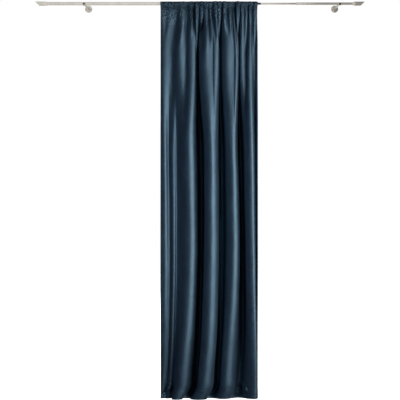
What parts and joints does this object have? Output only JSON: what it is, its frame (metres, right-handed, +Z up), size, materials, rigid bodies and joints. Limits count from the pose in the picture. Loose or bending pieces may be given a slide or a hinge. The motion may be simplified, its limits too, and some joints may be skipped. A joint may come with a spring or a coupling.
{
  "type": "blackout curtain gathered on a curtain rod with wall brackets",
  "caption": "Plain dark blackout curtain gathered by its rod pocket on a telescopic metal rod with slant-cut ends, held by round wall brackets.",
  "frame": {"origin": "centre of the left bracket's wall face, at the height of the rod's axis", "axes": "+X along the rod to the right, +Y into the wall, +Z up; the cloth hangs below the rod in front of the wall"},
  "size_m": [2.0346, 0.2287, 2.477],
  "materials": {
    "cloth": "dense short-napped blackout cloth with a soft sheen",
    "metal": "satin nickel",
    "dark_plastic": "matt"
  },
  "bodies": {
    "root": {"cloth_panel": "cloth", "rod_wide_tube": "metal", "rod_slim_tube": "metal", "rod_end_tube": "metal", "rod_collar": "dark_plastic", "finial_left": "metal", "finial_right": "metal", "bracket_left_rosette": "metal", "bracket_left_arm": "metal", "bracket_left_screw": "dark_plastic", "bracket_right_rosette": "metal", "bracket_right_arm": "metal", "bracket_right_screw": "dark_plastic"}
  },
  "joints": []
}
